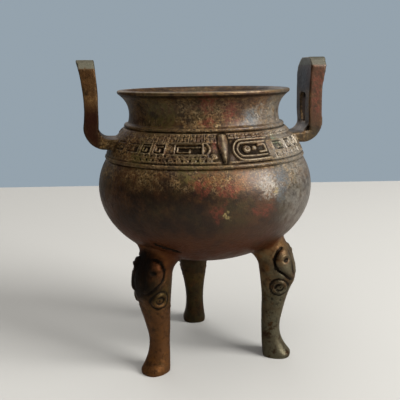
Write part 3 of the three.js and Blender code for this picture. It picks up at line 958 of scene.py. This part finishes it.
class Finish:
    """A material built up in layers of colour over an object, each with its own mask."""

    def __init__(self, name, colour):
        self.material = bpy.data.materials.new(name)
        self.material.use_nodes = True
        self.tree = self.material.node_tree
        self.shader = self.tree.nodes["Principled BSDF"]
        self.coords = self.node("ShaderNodeTexCoord").outputs["Object"]
        axes = self.node("ShaderNodeSeparateXYZ", {"Vector": self.coords})
        self.rightwards, self.sideways, self.height = axes.outputs
        level = self.vector("MULTIPLY", self.coords, (1, 1, 0)).outputs["Vector"]
        self.radius = self.node("ShaderNodeVectorMath", {0: level}, operation="LENGTH").outputs["Value"]
        self.ragged = self.warped()
        self.colour = (*colour, 1)

    def node(self, kind, inputs=None, **settings):
        return add_node(self.tree, kind, inputs, **settings)

    def math(self, operation, first, second):
        return self.node("ShaderNodeMath", {0: first, 1: second}, operation=operation).outputs[0]

    def vector(self, operation, first, second):
        return self.node("ShaderNodeVectorMath", {0: first, 1: second}, operation=operation)

    def times(self, *masks):
        product = masks[0]
        for mask in masks[1:]:
            product = self.math("MULTIPLY", product, mask)
        return product

    def noise(self, size, seed, detail=4.0, roughness=0.6):
        """Noise from 0 to 1 with features of about the given size in millimetres."""
        inputs = {"Vector": self.coords, "W": seed, "Scale": 1 / (size * MM)}
        inputs |= {"Detail": detail, "Roughness": roughness}
        return self.node("ShaderNodeTexNoise", inputs, noise_dimensions="4D").outputs["Fac"]

    def step(self, value, low, high, top=1.0):
        """A soft step of a value, from 0 at low to top at high."""
        inputs = {"Value": value, "From Min": low, "From Max": high, "To Max": top}
        return self.node("ShaderNodeMapRange", inputs, interpolation_type="SMOOTHSTEP").outputs["Result"]

    def patches(self, size, seed, cover, top=1.0, soft=0.07):
        """Ragged patches of about the given size that cover more of the surface as cover grows."""
        middle = 0.5 + 0.18 * (1 - 2 * cover)
        return self.step(self.noise(size, seed, 6.0, 0.68), middle - soft, middle + soft, top)

    def between(self, low, high, soft):
        """A mask of the heights from low to high in millimetres."""
        rise = self.step(self.height, (low - soft) * MM, (low + soft) * MM)
        fall = self.step(self.height, (high + soft) * MM, (high - soft) * MM)
        return self.times(rise, fall)

    def warped(self):
        """Object coordinates shaken a little, so that spots get ragged outlines."""
        inputs = {"Vector": self.coords, "Scale": 1 / (5 * MM), "Detail": 4.0, "Roughness": 0.65}
        shake = self.node("ShaderNodeTexNoise", inputs).outputs["Color"]
        centred = self.vector("SUBTRACT", shake, (0.5, 0.5, 0.5)).outputs["Vector"]
        scaled = self.vector("MULTIPLY", centred, (14 * MM,) * 3).outputs["Vector"]
        return self.vector("ADD", self.coords, scaled).outputs["Vector"]

    def spots(self, places):
        """A mask of ragged spots, each given as (x, y, z, radius) in millimetres."""
        mask = None
        for *place, radius in places:
            centre = tuple(axis * MM for axis in place)
            distance = self.vector("DISTANCE", self.ragged, centre).outputs["Value"]
            spot = self.step(distance, radius * MM, 0.4 * radius * MM)
            mask = self.math("MAXIMUM", mask, spot) if mask else spot
        return mask

    def layer(self, colour, mask):
        """Lays a colour over the ones before it where the mask is."""
        inputs = {0: mask, 6: self.colour, 7: (*colour, 1)}
        self.colour = self.node("ShaderNodeMix", inputs, data_type="RGBA").outputs[2]

    def mottle(self, colour, *patch, zone=None):
        """Lays a colour in ragged patches, all over or inside a zone."""
        patches = self.patches(*patch)
        self.layer(colour, self.times(zone, patches) if zone else patches)

    def spread(self, colour, places, *patch):
        """Lays a colour in ragged patches inside a few spots."""
        self.mottle(colour, *patch, zone=self.spots(places))

    def connect(self, socket, value):
        self.tree.links.new(value, self.shader.inputs[socket])


def on_body(*spots):
    """Spots on the body, from (degrees from the front round to the right, height, radius, size)."""
    places = []
    for degrees, height, radius, size in spots:
        turn = radians(degrees)
        places.append((radius * sin(turn), -radius * cos(turn), height, size))
    return places


def on_leg(index, *spots):
    """Spots on one leg, from (radius, height, size)."""
    across, along = cos(LEG_ANGLES[index]), sin(LEG_ANGLES[index])
    return [(radius * across, radius * along, height, size) for radius, height, size in spots]


def lay_ground(finish):
    """Brown, olive and red-brown mottling of the whole casting."""
    finish.layer(WARM_BROWN, finish.step(finish.noise(16, 1.0, 8.0, 0.7), 0.42, 0.62))
    finish.mottle(OLIVE, 26, 2.0, 0.4, 0.7)
    finish.mottle(RED_BROWN, 30, 3.0, 0.32, 0.65)
    finish.mottle(DEEP_BROWN, 12, 4.0, 0.28, 0.75)
    finish.mottle(RUST, 8, 8.0, 0.2, 0.55, 0.1, zone=finish.between(96, 150, 8))
    finish.mottle(DEEP_BROWN, 3.5, 9.0, 0.3, 0.65, 0.1)
    smooth_part = finish.step(finish.noise(9, 5.0), 0.3, 0.6, 0.7)
    finish.layer(SMOOTH_BROWN, finish.times(finish.between(60, 90, 8), smooth_part))
    finish.mottle(EMBER, 15, 6.0, 0.7, 0.85, 0.12, zone=finish.between(58, 80, 8))
    finish.mottle(OCHRE, 0.8, 7.0, 0.02, 0.7)


def lay_legs(finish):
    """Leg tints: red-brown with a black knee on the left, olive on the others, rust at the roots."""
    tints = (
        (LEG_RED, LEFT, (2, 16, 32), 11.0),
        (OLIVE_GREY, RIGHT, (2, 20, 38, 54), 12.0),
        (DARK_OLIVE, BACK, (2, 20, 40, 56), 13.0),
    )
    for colour, leg, heights, seed in tints:
        places = on_leg(leg, *((42, height, 17) for height in heights))
        finish.spread(colour, places, 5, seed, 0.7, 0.85)
    knees = on_leg(RIGHT, (37, 62, 15), (36, 48, 13)) + on_leg(LEFT, (33, 60, 9))
    finish.spread(TAWNY, knees, 4.0, 18.0, 0.62, 0.75, 0.1)
    shins = on_leg(LEFT, (40, 5, 12), (38, 24, 10)) + on_leg(RIGHT, (36, 34, 9), (36, 50, 14))
    finish.spread(RUST, shins, 3.0, 14.0, 0.42, 0.7, 0.1)
    below_knees = finish.step(finish.height, 60 * MM, 45 * MM)
    finish.mottle(DEEP_BROWN, 2.4, 15.0, 0.28, 0.6, zone=below_knees)
    roots = on_leg(LEFT, (36, 68, 13)) + on_leg(RIGHT, (36, 62, 15)) + on_leg(BACK, (38, 66, 13))
    belly_bottom = (0, 0, 56, 30)
    finish.spread(RUST, [*roots, belly_bottom], 6, 17.0, 0.62, 0.75, 0.1)
    # The left knee's black patina, in the same near-black
    finish.spread(BLACK_DIRT_AND_SHADE, on_leg(LEFT, (48, 52, 13), (46, 60, 12)), 6, 16.0, 0.95, 0.95)


def lay_handles(finish):
    """Golden brown and dark red on the handles' edges, deep brown painted shade on the right handle's inner
    face and on the slots' walls, and buff patina with painted top light on the crowns.
    """
    upright = finish.step(finish.radius, 52 * MM, 54 * MM)
    finish.spread(GOLDEN_BROWN, [(-61, -9, 150, 16), (-61, 9, 150, 16)], 4, 61.0, 0.65, 0.85)
    finish.spread(CUPRITE_DARK, [(-61, -9, 130, 15), (-61, 9, 130, 13)], 5, 62.0, 0.8, 0.9)
    finish.spread(RED_BROWN, [(63, -11, 154, 13), (64, -11, 138, 13)], 3, 63.0, 0.62, 0.85)
    finish.spread(CUPRITE, [(63, -12, 150, 9), (64, -12, 139, 9)], 2.2, 64.0, 0.45, 0.6, 0.1)
    # Painted shade on the right handle's inner face, which faces away from the window light
    finish.spread(DEEP_BROWN, [(55.5, 1, 152, 12), (55.5, 1, 138, 12)], 5, 65.0, 0.8, 0.8)
    finish.spread(OCHRE, [(-61, -11, 147, 6)], 2.0, 66.0, 0.4, 0.6)
    # Buff patina with painted light on the handles' top faces
    crowns = finish.times(upright, finish.step(finish.height, 159.8 * MM, 160.6 * MM))
    finish.mottle(BUFF_AND_TOP_LIGHT, 3, 67.0, 0.85, 0.85, zone=crowns)
    off_middle = finish.math("ABSOLUTE", finish.sideways, 0.0)
    beside = finish.step(off_middle, (SLOT_WIDTH / 2 + 0.5) * MM, (SLOT_WIDTH / 2 + 0.1) * MM, 0.9)
    # Painted shade on the walls of the handles' slots
    finish.layer(DEEP_BROWN, finish.times(upright, beside, finish.between(SLOT_LOW, SLOT_HIGH, 0.4)))


def lay_crust(finish):
    """Ochre crust in fine grains over the neck, the band and the shoulder, thinning out on the belly."""
    ragged = finish.math("ADD", finish.height, finish.times(finish.noise(14, 21.0, 5.0, 0.7), 26 * MM))
    below_lip = finish.step(finish.height, 149 * MM, 144 * MM)
    on_body_only = finish.step(finish.radius, 58.5 * MM, 57 * MM)
    zone = finish.times(finish.step(ragged, 112 * MM, 124 * MM), below_lip, on_body_only)
    grains = finish.patches(1.0, 22.0, 0.5, 1.0, 0.06)
    flakes = finish.patches(6, 26.0, 0.62, 1.0, 0.12)
    crust = finish.times(zone, grains, flakes, finish.patches(18, 23.0, 0.7, 0.9, 0.14))
    finish.mottle(DEEP_BROWN, 2.2, 27.0, 0.3, 0.7, zone=zone)
    finish.layer(OCHRE, crust)
    finish.mottle(PALE_CRUST, 1.6, 24.0, 0.35, 0.8, zone=crust)
    lip = finish.times(finish.between(147, 150, 0.6), finish.step(finish.radius, 48 * MM, 47.5 * MM))
    finish.mottle(OCHRE, 4, 25.0, 0.45, 0.5, zone=lip)
    return crust


def lay_dust_and_sheen(finish):
    """Pale dust with painted sheen over the right side of the body, painted highlights on the neck and
    belly, and a darker place left of the middle.
    """
    dark = on_body((-30, 95, 57.5, 19), (-14, 87, 57, 13), (-45, 88, 57, 15))
    finish.spread(DEEP_BROWN, dark, 6, 71.0, 0.6, 0.7, 0.14)
    # Pale dust together with painted sheen where the window light falls
    dust_and_sheen_spots = on_body((54, 98, 58, 33), (72, 90, 58, 30), (56, 138, 41, 19), (52, 121, 49, 18))
    finish.spread(DUST_AND_SHEEN, dust_and_sheen_spots, 2.6, 72.0, 0.54, 0.56, 0.2)
    # Painted highlights on the neck and the belly
    painted_highlights = on_body((27, 137, 40.3, 8), (22, 104, 57, 9))
    finish.spread(DUST_AND_SHEEN, painted_highlights, 1.6, 73.0, 0.5, 0.6, 0.12)


def lay_spots(finish):
    """Moss, cuprite, rust, green and gold spots where the photograph shows them, painted bluish reflection
    on the right, and painted shade on the neck's left.
    """
    moss = on_body((-42, 138, 40, 14), (-16, 112, 54, 10), (-48, 118, 51, 9))
    finish.spread(MOSS, moss, 2.4, 36.0, 0.58, 0.9, 0.08)
    # Painted shade on the neck's left
    painted_neck_shade = on_body((-52, 138, 40, 14), (-24, 134, 40, 8))
    finish.spread(DEEP_BROWN, painted_neck_shade, 3.6, 37.0, 0.4, 0.75, 0.08)
    cuprite = on_body(
        (-11.5, 106.7, 56.2, 7), (0.9, 103.2, 57.3, 7), (-4.6, 93.6, 57.9, 5),
        (21, 92.6, 57.8, 5), (14, 92.8, 57.8, 4), (-8, 134.8, 40.4, 5),
        (8, 139, 40.5, 6), (-8, 144, 43, 7), (-5, 122.8, 48.8, 4),
    )
    finish.spread(CUPRITE, cuprite, 1.5, 31.0, 0.5, 0.8, 0.12)
    rust = on_body((-6, 110.2, 54.7, 7), (7.6, 108.4, 55.7, 8), (31, 143.8, 42.6, 8))
    finish.spread(RUST, rust, 1.4, 32.0, 0.5, 0.75, 0.12)
    # Painted bluish reflection on the neck and belly, where the window light's highlight falls
    painted_reflection_spots = on_body((32, 108.1, 55.8, 6.5), (29, 99.7, 57.9, 5), (24.5, 135.7, 40.3, 6))
    finish.spread(BLUISH_REFLECTION, painted_reflection_spots, 1.8, 33.0, 0.68, 0.85, 0.14)
    green = on_body((36, 124, 47.9, 4), (39, 122.6, 48.9, 3.4))
    finish.spread(MALACHITE, green, 1.3, 34.0, 0.5, 0.8, 0.12)
    gold = on_body((23.3, 101.8, 57.7, 2.2), (-0.3, 91.9, 57.6, 2.4))
    finish.spread(GOLD, gold, 1.2, 35.0, 0.5, 0.8, 0.1)


def lay_carving(finish):
    """Dirt and painted shade sunk in the carving, metal rubbed bare on its high edges, and pale dust with
    painted sheen on the band's right.
    """
    carving = finish.node("ShaderNodeAttribute", attribute_name="carving").outputs["Fac"]
    rubbed = finish.step(carving, -0.1, -0.7)
    finish.mottle(RUBBED, 2.5, 41.0, 0.65, 0.7, zone=rubbed)
    # Sunk places are darkened: dirt and painted shade in the recesses
    sunk = finish.step(carving, 0.06, 0.45, 0.94)
    finish.layer(BLACK_DIRT_AND_SHADE, sunk)
    # Pale dust with painted sheen on the band's right
    finish.spread(DUST_AND_SHEEN, on_body((48, 122, 49, 24)), 2.0, 42.0, 0.5, 0.4, 0.2)
    return sunk


def bronze():
    """Mottled brown and olive patina, dark with dirt and painted shade in the carving and rubbed on its
    high places, with painted sheen, highlights and reflection on the right.
    """
    finish = Finish("bronze_patina", DARK_BROWN)
    lay_ground(finish)
    lay_legs(finish)
    lay_handles(finish)
    crust = lay_crust(finish)
    lay_dust_and_sheen(finish)
    lay_spots(finish)
    sunk = lay_carving(finish)
    finish.connect("Base Color", finish.colour)
    mottled = finish.step(finish.noise(7, 51.0, 6.0, 0.7), 0.3, 0.7, 0.2)
    matt = finish.math("ADD", mottled, finish.times(crust, 0.15))
    finish.connect("Roughness", finish.math("ADD", matt, LEAST_ROUGHNESS))
    for socket, value in SHINE.items():
        finish.shader.inputs[socket].default_value = value
    waxed = finish.step(finish.height, 62 * MM, 94 * MM, COAT)
    on_right = finish.step(finish.rightwards, -75 * MM, 25 * MM)
    finish.connect("Coat Weight", finish.times(waxed, on_right, finish.step(sunk, 0.8, 0.0)))
    coarse = finish.times(finish.noise(3.2, 53.0, 3.0), 1.4)
    grain = finish.math("ADD", finish.noise(1.1, 52.0, 5.0, 0.65), coarse)
    heights = finish.math("ADD", grain, finish.times(crust, 0.9))
    relief = {"Height": heights, "Strength": GRAIN_STRENGTH, "Distance": GRAIN_HEIGHT * MM}
    bump = finish.node("ShaderNodeBump", relief)
    finish.connect("Normal", bump.outputs["Normal"])
    return finish.material


# Stage

def plain_material(name, colour, roughness):
    material = bpy.data.materials.new(name)
    material.use_nodes = True
    shader = material.node_tree.nodes["Principled BSDF"]
    shader.inputs["Base Color"].default_value = (*colour, 1)
    shader.inputs["Roughness"].default_value = roughness
    return material


def from_camera(right, away, up):
    """A point in metres, counted to the right of the photograph's viewing line, away from it, and up."""
    turn = Matrix.Rotation(CAMERA_AZIMUTH, 3, "Z")
    return turn @ Vector((right, away, up))


def make_camera():
    """The photograph's own view."""
    data = bpy.data.cameras.new("photo_camera")
    data.sensor_width = SENSOR_WIDTH
    data.lens = FOCAL_PIXELS / IMAGE_PIXELS * SENSOR_WIDTH
    data.clip_start = 0.01
    camera = add_object("photo_camera", data)
    heading = Matrix.Rotation(CAMERA_AZIMUTH - CAMERA_YAW, 4, "Z")
    level = Matrix.Rotation(pi / 2 - CAMERA_PITCH, 4, "X")
    roll = Matrix.Rotation(CAMERA_ROLL, 4, "Z")
    place = from_camera(0, -CAMERA_DISTANCE * MM, CAMERA_HEIGHT * MM)
    camera.matrix_world = Matrix.Translation(place) @ heading @ level @ roll
    bpy.context.scene.camera = camera


def make_floor():
    """A plain pale floor that ends behind the vessel."""
    corners = [from_camera(*corner, 0) for corner in FLOOR_CORNERS]
    floor = make_piece("floor", np.array(corners) / MM, [(0, 1, 2, 3)])
    floor.data.materials.append(plain_material("pale_floor", FLOOR_COLOUR, FLOOR_ROUGHNESS))


def make_light(name, azimuth, elevation, distance, size, power, colour):
    """A square soft light aimed at the vessel, azimuth counted from the camera round to the right."""
    turn, rise = radians(azimuth), radians(elevation)
    flat = distance * cos(rise)
    place = from_camera(flat * sin(turn), -flat * cos(turn), distance * sin(rise))
    place += LIGHT_AIM
    data = bpy.data.lights.new(name, "AREA")
    data.size = size
    data.energy = power
    data.color = colour
    light = add_object(name, data)
    light.location = place
    light.rotation_mode = "QUATERNION"
    light.rotation_quaternion = (LIGHT_AIM - place).to_track_quat("-Z", "Y")


def make_surround():
    """A plain grey surround, paler behind the vessel than on the camera's side."""
    world = bpy.context.scene.world or bpy.data.worlds.new("surround")
    bpy.context.scene.world = world
    world.use_nodes = True
    tree = world.node_tree
    direction = add_node(tree, "ShaderNodeTexCoord").outputs["Generated"]
    sides = {0: direction, 1: from_camera(0, 1, 0)}
    facing = add_node(tree, "ShaderNodeVectorMath", sides, operation="DOT_PRODUCT").outputs["Value"]
    ramp = add_node(tree, "ShaderNodeValToRGB", {"Fac": facing})
    colours = (SURROUND_NEAR, SURROUND_BACK)
    for element, colour, position in zip(ramp.color_ramp.elements, colours, SURROUND_BLEND):
        element.color = colour
        element.position = position
    tree.links.new(ramp.outputs["Color"], tree.nodes["Background"].inputs["Color"])


def make_lights():
    """A window-like light from the right, a broad soft one from above and a weak one from behind."""
    for name, settings in LIGHTS.items():
        make_light(name, *settings)
    bpy.context.scene.view_settings.view_transform = "Standard"


make_camera()
make_floor()
make_lights()
make_surround()
vessel = build_vessel()
vessel.data.materials.clear()
vessel.data.materials.append(bronze())
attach(vessel, "root")
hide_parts(NODE)
